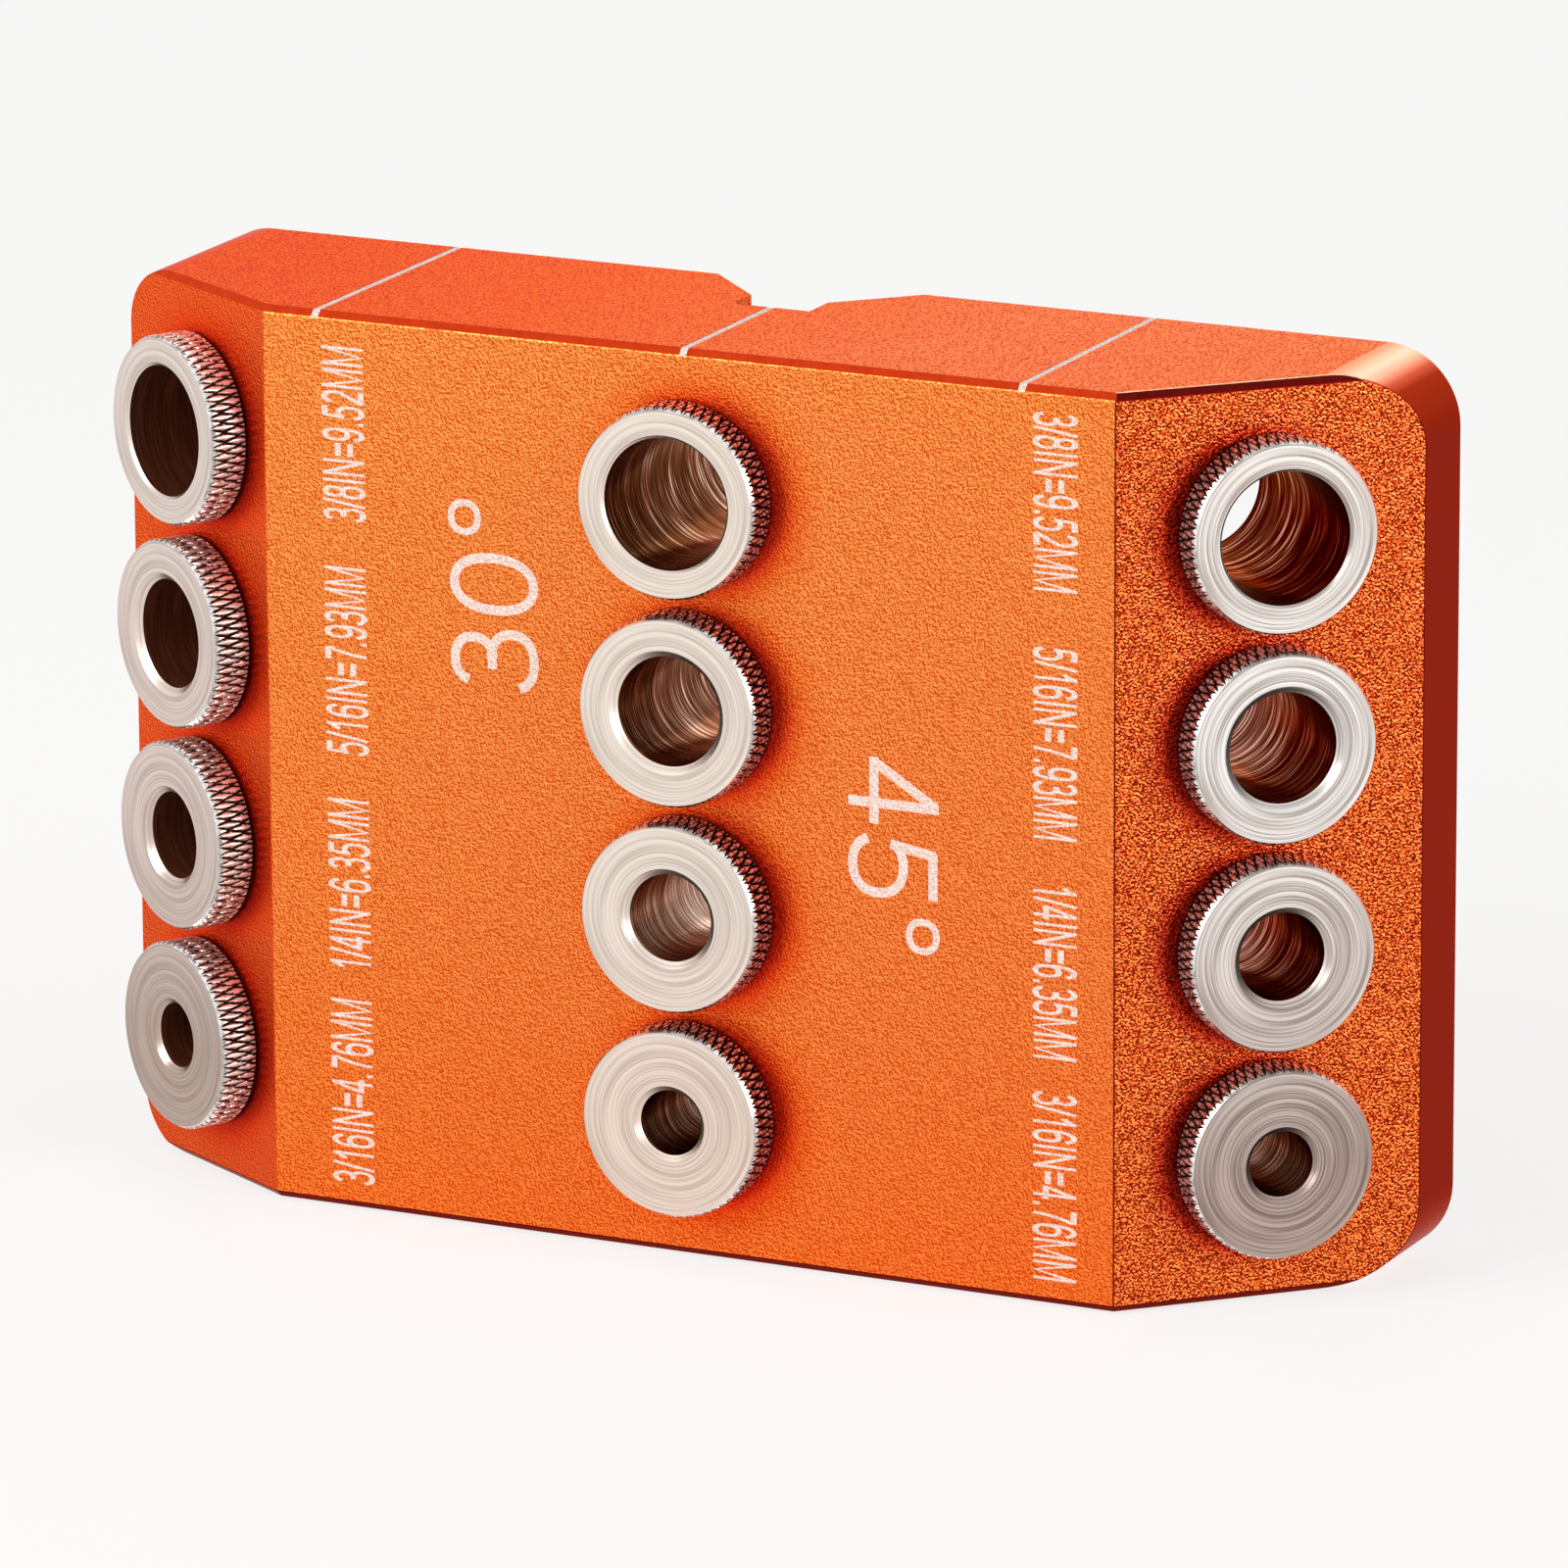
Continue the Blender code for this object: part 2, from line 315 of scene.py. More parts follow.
def block_blank(block):
    """The block before its groove and holes are cut."""
    bm = bmesh.new()
    bmesh.ops.create_cube(bm, size=1.0)
    bmesh.ops.scale(bm, verts=bm.verts, vec=block.high - block.low)
    bmesh.ops.translate(bm, verts=bm.verts, vec=(block.high + block.low) / 2)
    for x, radius in ((block.low.x, LEFT_CORNER_RADIUS), (block.high.x, RIGHT_CORNER_RADIUS)):
        bevel(bm, edges_along_y(bm, x), radius, CORNER_SEGMENTS)
    for point, tilt in block.slopes:
        mill_flat(bm, point, face_normal(tilt))
    left_slope, right_slope = block.slopes
    up = Vector((0.0, 0.0, 1.0))
    for point, tilt in (left_slope, (block.left_edge, 0.0), right_slope):
        mill_flat(bm, point + up * (block.high.z - END_CHAMFER), face_normal(tilt) + up)
        mill_flat(bm, point + up * END_CHAMFER, face_normal(tilt) - up)
    bmesh.ops.remove_doubles(bm, verts=bm.verts, dist=SLIVER)
    sharp = [e for e in bm.edges if e.is_manifold and e.calc_face_angle() > SHARP_EDGE]
    bevel(bm, sharp, EDGE_BREAK, BREAK_SEGMENTS)
    return closed_mesh(bm, "block_blank")


def groove_tool(block):
    """Vee and relief slot, run past both ends and the base."""
    half_mouth = GROOVE_WIDTH / 2 + OVERRUN * math.tan(GROOVE_ANGLE / 2)
    half_slot = SLOT_WIDTH / 2
    profile = (
        (-half_mouth, block.base_y + OVERRUN),
        (-half_slot, block.base_y - block.vee_depth),
        (-half_slot, block.base_y - block.groove_depth),
        (half_slot, block.base_y - block.groove_depth),
        (half_slot, block.base_y - block.vee_depth),
        (half_mouth, block.base_y + OVERRUN),
    )
    bm = bmesh.new()
    low = block.low.z - OVERRUN
    rise = block.high.z - block.low.z + 2 * OVERRUN
    prism(bm, [(block.middle_x + x, y, low) for x, y in profile], (0.0, 0.0, rise))
    return closed_mesh(bm, "groove_tool")


def hole_tools(block):
    """Reamers for the bush holes, from clear of the faces to clear of the base."""
    reach = 2 * (block.base_y - block.front_y)
    radius = SLEEVE_DIAMETER / 2 + SEAT_GAP
    bm = bmesh.new()
    for _, _, frame in block.seats():
        bmesh.ops.create_cone(
            bm,
            cap_ends=True,
            segments=ROUND_SEGMENTS,
            radius1=radius,
            radius2=radius,
            depth=reach,
            matrix=frame @ Matrix.Translation((0.0, 0.0, OVERRUN - reach / 2)),
        )
    return mesh_of(bm, "hole_tools")


def index_lines(block):
    """Place along X and far end in Y of each index line on the upper end."""
    return (
        (LEFT_LINE_X, block.base_y),
        (block.middle_x, block.base_y - block.groove_depth),
        (RIGHT_LINE_X, block.base_y),
    )


def scriber_tool(block):
    """Cutter for the index lines: along the upper end and down over its front chamfer."""
    bm = bmesh.new()
    top = block.high.z - INDEX_LINE_DEPTH
    for x, far_y in index_lines(block):
        profile = (
            (block.front_y - END_CHAMFER, top - 2 * END_CHAMFER),
            (block.front_y + END_CHAMFER, top),
            (far_y + OVERRUN, top),
            (far_y + OVERRUN, top + OVERRUN),
            (block.front_y - END_CHAMFER, top + OVERRUN),
        )
        near = x - INDEX_LINE_WIDTH / 2
        prism(bm, [(near, y, z) for y, z in profile], (INDEX_LINE_WIDTH, 0.0, 0.0))
    return closed_mesh(bm, "scriber_tool")


# Finishes of the block, in the order of its material slots
FRONT, LEFT, RIGHT, END, SIDE, CUT, SHADED_CUT, GLINT, MARK, LEFT_SIDE = range(10)
# Parts of faces' normals that tell the faces apart
SQUARE_ON = 0.9995
NONE_ALONG_Y = 0.01
RISING = 0.1
SCRIBED_RISE = 0.5
CHAMFER_RISE = 0.65
NEARLY_LEVEL = 0.8
# Least depth of a hole's or the groove's faces, and where the base's flats end beside the corners
SUNK_DEPTH = 1.0 * MM
BASE_MARGIN = 0.5 * MM
# Faces of rounds and cuts are smooth up to this area
SMOOTH_AREA = 30.0 * MM * MM


def sunk(center, block):
    """Whether a face lies in a hole or in the groove, well below the block's outside."""
    low, high = block.low, block.high
    if any(not low[i] + SUNK_DEPTH < center[i] < high[i] - SUNK_DEPTH for i in range(3)):
        return False
    corner = max(LEFT_CORNER_RADIUS, RIGHT_CORNER_RADIUS)
    if all(not low[i] + corner < center[i] < high[i] - corner for i in (0, 2)):
        return False
    flat = Vector((center.x, center.y, 0.0))
    return all((flat - point).dot(face_normal(tilt)) < -SUNK_DEPTH for point, tilt in block.slopes)


def scribed(center, normal, block):
    """Whether a face is the floor of an index line."""
    near = any(abs(center.x - x) < INDEX_LINE_WIDTH / 2 for x, _ in index_lines(block))
    skin = INDEX_LINE_DEPTH / 2
    on_face = center.z > block.high.z - skin
    on_chamfer = center.z - center.y > block.high.z - END_CHAMFER - block.front_y - skin
    return near and normal.z > SCRIBED_RISE and not on_face and not on_chamfer


def block_finish(polygon, block):
    """Which finish a face of the block has."""
    normal = polygon.normal
    center = polygon.center
    if sunk(center, block):
        return END if abs(center.x - block.middle_x) < GROOVE_WIDTH / 2 else CUT
    if scribed(center, normal, block):
        return MARK
    for finish, tilt in ((LEFT, -LEFT_TILT), (FRONT, 0.0), (RIGHT, RIGHT_TILT)):
        if normal.dot(face_normal(tilt)) > SQUARE_ON:
            return finish
    on_base = block.low.x + BASE_MARGIN < center.x < block.high.x - BASE_MARGIN
    if abs(normal.z) > SQUARE_ON or (normal.y > SQUARE_ON and on_base):
        return END
    if abs(normal.y) < NONE_ALONG_Y:
        return SIDE if center.x > block.middle_x else LEFT_SIDE
    # What is left are the chamfers and the breaks of edges
    # Those facing down, the upright ones in the right half and the right face's top chamfer get
    # painted shade; the break above that chamfer a painted glint
    if normal.z < -RISING:
        return SHADED_CUT
    if normal.z <= RISING:
        return SHADED_CUT if center.x > block.middle_x else LEFT
    if center.x > block.right_x:
        return GLINT if normal.z > NEARLY_LEVEL else SHADED_CUT
    if normal.z > CHAMFER_RISE:
        return CUT
    return FRONT if center.x > block.left_x else LEFT


def make_block(block, finishes):
    """The block with its groove, holes and index lines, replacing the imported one."""
    tools = (groove_tool(block), hole_tools(block), scriber_tool(block))
    mesh = boolean("drill_guide_block", block_blank(block), tools, "DIFFERENCE")
    mesh.materials.clear()
    for finish in finishes:
        mesh.materials.append(finish)
    shade(mesh, BLOCK_SHADE_ANGLE)
    for polygon in mesh.polygons:
        finish = block_finish(polygon, block)
        polygon.material_index = finish
        polygon.use_smooth = finish in (SIDE, LEFT_SIDE, CUT, END) and polygon.area < SMOOTH_AREA
    piece = new_object("drill_guide_block", mesh)
    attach(piece, "root")
    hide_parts("guide_block")


def knurled_stock():
    """Bar with diamond knurl where the head will be, and plain below."""
    valley = HEAD_DIAMETER / 2 - KNURL_DEPTH
    bm = bmesh.new()
    circle = bmesh.ops.create_circle(bm, segments=KNURL_TEETH, radius=valley)["verts"]
    bmesh.ops.translate(bm, verts=circle, vec=(0.0, 0.0, KNURL_BOTTOM))
    bottom = edges_between(circle)
    top = bottom
    for _ in range(KNURL_BANDS):
        top = edges_between(extrude_and_move(bm, top, (0.0, 0.0, DIAMOND_LENGTH)))
    square = [e for e in bm.edges if e not in set(bottom) | set(top)]
    poked = bmesh.ops.poke(bm, faces=bm.faces[:])
    for vert in poked["verts"]:
        flat = Vector((vert.co.x, vert.co.y))
        flat *= valley / flat.length
        vert.co = (flat.x, flat.y, vert.co.z)
    bmesh.ops.dissolve_edges(bm, edges=square, use_verts=False)
    bmesh.ops.recalc_face_normals(bm, faces=bm.faces)
    made = bmesh.ops.inset_individual(
        bm, faces=bm.faces[:], thickness=TOOTH_FLANK, depth=KNURL_DEPTH - CROWN_RISE
    )
    flanks = set(made["faces"])
    lands = [face for face in bm.faces if face not in flanks]
    bmesh.ops.inset_individual(bm, faces=lands, thickness=TOOTH_CROWN, depth=CROWN_RISE)
    rims = sorted((e for e in bm.edges if e.is_boundary), key=lambda e: e.verts[0].co.z)
    middle = len(rims) // 2
    bmesh.ops.edgeloop_fill(bm, edges=rims[middle:])
    neck = extrude_and_move(bm, rims[:middle], (0.0, 0.0, 0.0))
    bmesh.ops.scale(bm, verts=neck, vec=(STOCK_RADIUS / valley, STOCK_RADIUS / valley, 1.0))
    foot = extrude_and_move(bm, edges_between(neck), (0.0, 0.0, STOCK_END - KNURL_BOTTOM))
    bmesh.ops.edgeloop_fill(bm, edges=edges_between(foot))
    bmesh.ops.triangulate(bm, faces=bm.faces[:])
    return closed_mesh(bm, "knurled_stock")


def turned_bush(bore_diameter, mouth_chamfer, sleeve_length):
    """Envelope of a bush about local Z, with the block's face at height 0."""
    bore = bore_diameter / 2
    sleeve = SLEEVE_DIAMETER / 2
    profile = (
        (bore, HEAD_HEIGHT - mouth_chamfer),
        (bore + mouth_chamfer, HEAD_HEIGHT),
        (RIM_RADIUS, HEAD_HEIGHT),
        (HEAD_CREST, HEAD_HEIGHT - RIM_BEVEL_HEIGHT),
        (HEAD_CREST, SEAT_GAP + FOOT_BEVEL_HEIGHT),
        (HEAD_CREST - FOOT_BEVEL, SEAT_GAP),
        (sleeve, SEAT_GAP),
        (sleeve, TAIL_CHAMFER - sleeve_length),
        (sleeve - TAIL_CHAMFER, -sleeve_length),
        (bore, -sleeve_length),
    )
    bm = bmesh.new()
    verts = [bm.verts.new((radius, 0.0, height)) for radius, height in profile]
    edges = [bm.edges.new(pair) for pair in zip(verts, verts[1:] + verts[:1])]
    bmesh.ops.spin(
        bm,
        geom=verts + edges,
        cent=(0.0, 0.0, 0.0),
        axis=(0.0, 0.0, 1.0),
        dvec=(0.0, 0.0, 0.0),
        angle=2 * math.pi,
        steps=ROUND_SEGMENTS,
        use_merge=True,
    )
    bmesh.ops.remove_doubles(bm, verts=bm.verts, dist=TOUCH)
    return closed_mesh(bm, "turned_bush")


# Finishes of a bush, in the order of its material slots
FACED, KNURLED, BORED, RIM = range(4)
# How near a face is to its surface to be part of it, and how level a turned face is
BORE_MARGIN = 0.01 * MM
RIM_MARGIN = 0.02 * MM
SLEEVE_MARGIN = 0.1 * MM
LEVEL = 0.95


def bush_finish(polygon, bore):
    """Which finish a face of a bush has."""
    center = polygon.center
    radius = math.hypot(center.x, center.y)
    if radius < bore + BORE_MARGIN:
        return BORED
    drop = HEAD_HEIGHT - center.z
    bevel_radius = RIM_RADIUS + (HEAD_CREST - RIM_RADIUS) * drop / RIM_BEVEL_HEIGHT
    if TOUCH < drop < RIM_BEVEL_HEIGHT and abs(radius - bevel_radius) < RIM_MARGIN:
        return RIM
    outside = radius > SLEEVE_DIAMETER / 2 + SLEEVE_MARGIN and center.z > SEAT_GAP
    return KNURLED if outside and abs(polygon.normal.z) < LEVEL else FACED


def bush_mesh(name, bore_diameter, mouth_chamfer, sleeve_length):
    """Fine bush: knurled stock turned to the bush's envelope."""
    envelope = turned_bush(bore_diameter, mouth_chamfer, sleeve_length)
    mesh = boolean(name, envelope, (knurled_stock(),), "INTERSECT")
    mesh.materials.clear()
    for polygon in mesh.polygons:
        polygon.material_index = bush_finish(polygon, bore_diameter / 2)
    place = mesh.attributes.new(LATHE, "FLOAT_VECTOR", "POINT")
    for vert in mesh.vertices:
        place.data[vert.index].vector = vert.co / MM
    shade(mesh, BUSH_SHADE_ANGLE)
    return mesh


def make_bushes(block, finishes):
    """All bushes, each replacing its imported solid."""
    meshes = []
    for (size, bore), chamfer in zip(DRILL_SIZES, MOUTH_CHAMFERS):
        meshes.append(bush_mesh("fine_bush_" + size, bore, chamfer, block.sleeve_length))
    for column, row, frame in block.seats():
        node = f"bush_{column}_{DRILL_SIZES[row][0]}"
        mesh = meshes[row].copy()
        mesh.transform(frame)
        for finish in finishes[column, row]:
            mesh.materials.append(finish)
        piece = new_object("fine_" + node, mesh)
        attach(piece, "root")
        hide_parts(node)


# Letters' grid: height of a capital, and widths of a digit and of the other signs
CAPITAL = 0.716
DIGIT_WIDTH = 0.556
WIDTHS = {"/": 0.278, "I": 0.278, ".": 0.278, "N": 0.722, "=": 0.584, "M": 0.833, "°": 0.4}
# Power that makes the arcs of letters a little squarer than an ellipse
SQUARENESS = 0.88
# Strokes whose ends are this close are closed
CLOSED = 1e-4


def bow(x, y, half_width, half_height, start, end, steps=14):
    """Points along an arc, angles in degrees."""
    points = []
    for step in range(steps + 1):
        angle = math.radians(start + (end - start) * step / steps)
        across = math.copysign(abs(math.cos(angle)) ** SQUARENESS, math.cos(angle))
        up = math.copysign(abs(math.sin(angle)) ** SQUARENESS, math.sin(angle))
        points.append((x + half_width * across, y + half_height * up))
    return points


def ring(x, y, half_width, half_height, steps=30):
    """Points along a closed round."""
    return bow(x, y, half_width, half_height, 0, 360, steps)


def upright(x, top=CAPITAL):
    """Stroke from the baseline up."""
    return [(x, 0.0), (x, top)]


def level(start, end, y):
    """Stroke along the text."""
    return [(start, y), (end, y)]


# Strokes of each sign
SIGNS = {
    "0": [ring(0.2785, 0.3535, 0.193, 0.3215, 36)],
    "1": [[(0.13, 0.5), (0.235, 0.575), (0.328, 0.68)], [(0.328, CAPITAL), (0.328, 0.0)]],
    "2": [bow(0.272, 0.495, 0.185, 0.18, 165, -30) + [(0.09, 0.06)], level(0.05, 0.503, 0.045)],
    "3": [
        bow(0.262, 0.52, 0.165, 0.155, 165, -85),
        bow(0.27, 0.208, 0.202, 0.176, 90, -165),
        [(0.2, 0.372), (0.285, 0.375)],
    ],
    "4": [upright(0.358), [(0.345, 0.69), (0.06, 0.22)], level(0.02, 0.512, 0.205)],
    "5": [
        level(0.48, 0.13, 0.67),
        [(0.152, 0.69), (0.094, 0.335)],
        bow(0.262, 0.235, 0.207, 0.203, 142, -160),
    ],
    "6": [ring(0.285, 0.228, 0.187, 0.196), bow(0.29, 0.355, 0.205, 0.32, 32, 195)],
    "7": [level(0.05, 0.505, 0.67), [(0.49, 0.66), (0.38, 0.5), (0.28, 0.28), (0.225, 0.0)]],
    "8": [ring(0.278, 0.528, 0.157, 0.147), ring(0.278, 0.207, 0.19, 0.175)],
    "9": [ring(0.271, 0.479, 0.187, 0.196), bow(0.266, 0.352, 0.205, 0.32, -148, 15)],
    "/": [[(0.03, 0.0), (0.248, CAPITAL)]],
    "I": [upright(0.14)],
    "N": [upright(0.12), [(0.125, 0.68), (0.592, 0.036)], upright(0.597)],
    "=": [level(0.055, 0.528, 0.452), level(0.055, 0.528, 0.24)],
    ".": [upright(0.141, 0.1)],
    "M": [upright(0.118), [(0.125, 0.69), (0.417, 0.03), (0.708, 0.69)], upright(0.714)],
    "°": [ring(0.2, 0.588, 0.108, 0.108, 28)],
}


def lettering_mesh(name, text, stroke_width):
    """Round strokes of a text along the XY plane, and its length, in grid units."""
    curve = bpy.data.curves.new(name, "CURVE")
    curve.dimensions = "3D"
    curve.bevel_depth = stroke_width / 2
    curve.bevel_resolution = 2
    curve.use_fill_caps = True
    start = 0.0
    for sign in text:
        for stroke in SIGNS[sign]:
            closed = math.dist(stroke[0], stroke[-1]) < CLOSED
            points = stroke[:-1] if closed else stroke
            spline = curve.splines.new("POLY")
            spline.points.add(len(points) - 1)
            spline.use_cyclic_u = closed
            for point, (x, y) in zip(spline.points, points):
                point.co = (start + x, y, 0.0, 1.0)
                point.radius = DEGREE_WEIGHT if sign == "°" else 1.0
        start += WIDTHS.get(sign, DIGIT_WIDTH)
    return final_mesh(new_object(name, curve)), start


def place_lettering(block, finish, name, text, lettering, place, tops):
    """A text on the front face, read along +Z (letters' tops to -X) or along -Z (to +X)."""
    stroke_width, along, tall, share_before = lettering
    mesh, width = lettering_mesh(name, text, stroke_width)
    thin = MARK_RISE / (stroke_width / 2)
    mesh.transform(Matrix.Translation((-share_before * width, 0.0, 0.0)))
    mesh.transform(Matrix.Diagonal((along, tall, thin, 1.0)))
    # Local X runs along the reading direction, local Y towards the letters' tops
    turned = Matrix(((0.0, tops, 0.0), (0.0, 0.0, -1.0), (-tops, 0.0, 0.0))).to_4x4()
    mesh.transform(Matrix.Translation((place[0], block.front_y, place[1])) @ turned)
    mesh.materials.clear()
    mesh.materials.append(finish)
    shade(mesh, MARK_SHADE_ANGLE)
    piece = new_object(name, mesh)
    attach(piece, "root")


def make_lettering(block, finish):
    """Drill sizes beside the bushes and the angles of the sloping columns."""
    marks = []
    for size, text, left_z, right_z in SIZE_MARKS:
        marks.append(("left_size_mark_" + size, text, SIZE_LETTERING, (LEFT_MARKS_X, left_z), -1))
        marks.append(("right_size_mark_" + size, text, SIZE_LETTERING, (RIGHT_MARKS_X, right_z), 1))
    marks.append(("angle_mark_30deg", "30°", ANGLE_LETTERING, LEFT_ANGLE_PLACE, -1))
    marks.append(("angle_mark_45deg", "45°", ANGLE_LETTERING, RIGHT_ANGLE_PLACE, 1))
    for mark in marks:
        place_lettering(block, finish, *mark)


class Graph:
    """A node tree under construction."""

    def __init__(self, tree):
        self.nodes = tree.nodes
        self.links = tree.links

    def join(self, socket, value):
        """Give an input a value of its own, or what another socket puts out."""
        if isinstance(value, bpy.types.NodeSocket):
            self.links.new(value, socket)
        else:
            socket.default_value = value

    def feed(self, sockets, **values):
        """Join inputs by name, underscores standing for spaces."""
        for name, value in values.items():
            self.join(sockets[name.replace("_", " ")], value)

    def node(self, kind, **inputs):
        """New node with its inputs fed by name."""
        node = self.nodes.new("ShaderNode" + kind)
        self.feed(node.inputs, **inputs)
        return node

    def row(self, kind, *values):
        """New node with its inputs joined in their order."""
        node = self.node(kind)
        for socket, value in zip(node.inputs, values):
            self.join(socket, value)
        return node

    def work_out(self, operation, *values, kind="Math"):
        """Result of an operation on sockets or numbers."""
        node = self.row(kind, *values)
        node.operation = operation
        return node.outputs[0]

    def times(self, first, second):
        """Product of sockets or numbers."""
        return self.work_out("MULTIPLY", first, second)

    def length(self, x, y):
        """Length of a flat vector."""
        return self.work_out("SQRT", self.work_out("ADD", self.times(x, x), self.times(y, y)))

    def noise(self, vector, scale, detail=0.0, roughness=0.5):
        """Noise of a vector; scale may be a socket."""
        node = self.node("TexNoise", Vector=vector, Scale=scale, Detail=detail, Roughness=roughness)
        return node.outputs["Fac"]

    def share(self, value, low, high, least=0.0):
        """How far a value is from one end of a range to the other, clamped."""
        node = self.node("MapRange", Value=value, From_Min=low, From_Max=high, To_Min=least)
        return node.outputs[0]

    def split(self, vector):
        """The three parts of a vector."""
        return self.row("SeparateXYZ", vector).outputs

    def place(self, space="Object"):
        """Place on the object, or its normal there, in the object's own frame."""
        return self.node("TexCoord").outputs[space]

    def lathe_place(self):
        """Place on a bush before it was seated, in millimetres."""
        node = self.node("Attribute")
        node.attribute_name = LATHE
        return node.outputs["Vector"]


def new_group(name, inputs, outputs):
    """Node group of plain numbers: its tree, its graph, what comes into it and what goes out."""
    tree = bpy.data.node_groups.new(name, "ShaderNodeTree")
    for socket, value in inputs.items():
        made = tree.interface.new_socket(name=socket, in_out="INPUT", socket_type="NodeSocketFloat")
        made.default_value = value
    for socket in outputs:
        tree.interface.new_socket(name=socket, in_out="OUTPUT", socket_type="NodeSocketFloat")
    graph = Graph(tree)
    into = graph.nodes.new("NodeGroupInput").outputs
    return tree, graph, into, graph.nodes.new("NodeGroupOutput").inputs


# Anodised aluminium: where its grain is lit from, its sheen, and its tints where it is seen along
GRAIN_LEAN = Vector((0.05, -0.04, 0.07)) * MM
ANODISED_SHEEN = 0.25
EDGE_TINT = (1.0, 0.5, 0.45, 1.0)
END_TINT = (1.0, 0.5, 0.33, 1.0)
# Turning lines: share of the fine ones, scale of the coarse ones, and heights their mask spreads
FINE_LINES_SHARE = 0.7
COARSE_LINES = 0.4
LINES_SPREAD = (0.38, 0.62)
# Painted shade around the bush heads: its start from a head's edge, its width, and how far it is
# off centre
HEAD_SHADE_START = -0.5 * MM
HEAD_SHADE_WIDTH = 4.0 * MM
HEAD_SHADE_SHIFT = 1.1 * MM


def blast_group():
    """Bead-blasted grain: its height, and a mask from each grain's shaded side to its lit one."""
    tree, graph, into, out = new_group(
        "bead_blast", {"Grains per metre": 5600.0, "Softness": 0.14}, ("Height", "Mask")
    )
    place = graph.place()
    beside = graph.work_out("ADD", place, GRAIN_LEAN, kind="VectorMath")
    grains, softness = into["Grains per metre"], into["Softness"]
    height = graph.noise(place, grains)
    slope = graph.work_out("SUBTRACT", height, graph.noise(beside, grains))
    graph.feed(out, Height=height, Mask=graph.share(slope, graph.times(softness, -1.0), softness))
    return tree


def lathe_group():
    """Turning lines about a bush's axis: their height and a mask."""
    tree, graph, into, out = new_group(
        "turning_lines",
        {"Lines per mm": 5.0, "Breaks per mm": 0.1, "Along axis": 0.0},
        ("Height", "Mask"),
    )
    x, y, z = graph.split(graph.lathe_place())
    travel = graph.node("Mix", Factor=into["Along axis"], A=graph.length(x, y), B=z).outputs[0]
    breaks = into["Breaks per mm"]
    rings = graph.times(travel, into["Lines per mm"])
    parts = (graph.times(x, breaks), graph.times(y, breaks), rings)
    around = graph.row("CombineXYZ", *parts).outputs[0]
    fine = graph.times(graph.noise(around, 1.0, detail=1.0, roughness=0.6), FINE_LINES_SHARE)
    coarse = graph.times(graph.noise(around, COARSE_LINES), 1.0 - FINE_LINES_SHARE)
    height = graph.work_out("ADD", fine, coarse)
    graph.feed(out, Height=height, Mask=graph.share(height, *LINES_SPREAD))
    return tree


def surround_group(block):
    """Masks by place for painted light and shade: clearness of a column's heads (0 beside one),
    rise along Z, run along X.
    """
    tree, graph, into, out = new_group(
        "bush_surround", {"Column x": 0.0, "Slope stretch": 1.0}, ("Clearness", "Rise", "Run")
    )
    last = len(DRILL_SIZES) - 1
    parts = graph.split(graph.place())
    offset = graph.work_out("SUBTRACT", parts["X"], into["Column x"])
    across = graph.times(offset, into["Slope stretch"])
    climb = graph.work_out("SUBTRACT", parts["Z"], block.row_z(last))
    nearest = graph.work_out("ROUND", graph.work_out("DIVIDE", climb, ROW_PITCH))
    nearest = graph.work_out("MINIMUM", graph.work_out("MAXIMUM", nearest, 0.0), float(last))
    along = graph.work_out("SUBTRACT", climb, graph.times(nearest, ROW_PITCH))
    start = HEAD_DIAMETER / 2 + HEAD_SHADE_START
    clearness = graph.share(graph.length(across, along), start, start + HEAD_SHADE_WIDTH)
    run, rise = (graph.share(parts[i], block.low[i], block.high[i]) for i in (0, 2))
    graph.feed(out, Clearness=clearness, Rise=rise, Run=run)
    return tree


class Finish(Graph):
    """A material under construction, with its Principled shader."""

    def __init__(self, name, metallic, roughness, edge_tint=WHITE):
        self.material = bpy.data.materials.new(name)
        self.material.use_nodes = True
        super().__init__(self.material.node_tree)
        self.shader = self.nodes["Principled BSDF"].inputs
        self.feed(self.shader, Metallic=metallic, Roughness=roughness, Specular_Tint=edge_tint)

    def group(self, tree, **values):
        """What a node group puts out for its own values."""
        node = self.node("Group")
        node.node_tree = tree
        self.feed(node.inputs, **values)
        return node.outputs

    def ramp(self, mask, shades):
        """Colour along a mask; each shade is its place, red, green and blue."""
        node = self.node("ValToRGB", Fac=mask)
        elements = node.color_ramp.elements
        while len(elements) < len(shades):
            elements.new(0.5)
        for element, (place, *color) in zip(elements, shades):
            element.position = place
            element.color = (*color, 1.0)
        return node.outputs["Color"]

    def dye(self, mask, shades):
        """Colour the base along a mask."""
        self.feed(self.shader, Base_Color=self.ramp(mask, shades))

    def deepen(self, mask, shades):
        """Multiply the colour so far by one along a mask."""
        node = self.node("Mix", Factor=1.0)
        node.data_type = "RGBA"
        node.blend_type = "MULTIPLY"
        first, second = (socket for socket in node.inputs if socket.type == "RGBA")
        self.join(first, self.shader["Base Color"].links[0].from_socket)
        self.join(second, self.ramp(mask, shades))
        product = next(socket for socket in node.outputs if socket.type == "RGBA")
        self.feed(self.shader, Base_Color=product)

    def bump(self, height, distance, strength=1.0):
        """Feed the normal from a height."""
        node = self.node("Bump", Height=height, Strength=strength, Distance=distance)
        self.feed(self.shader, Normal=node.outputs["Normal"])


def anodised(blast, name, shades, metallic, roughness, grains, relief, softness, tint=EDGE_TINT):
    """Anodised aluminium in shades of its dye, lighter or darker by face as painted light and
    shade, with a blasted grain.
    """
    finish = Finish("anodised_" + name, metallic, roughness, tint)
    finish.feed(finish.shader, Specular_IOR_Level=ANODISED_SHEEN)
    grain = finish.group(blast, Grains_per_metre=grains, Softness=softness)
    finish.dye(grain["Mask"], shades)
    finish.bump(grain["Height"], relief)
    return finish


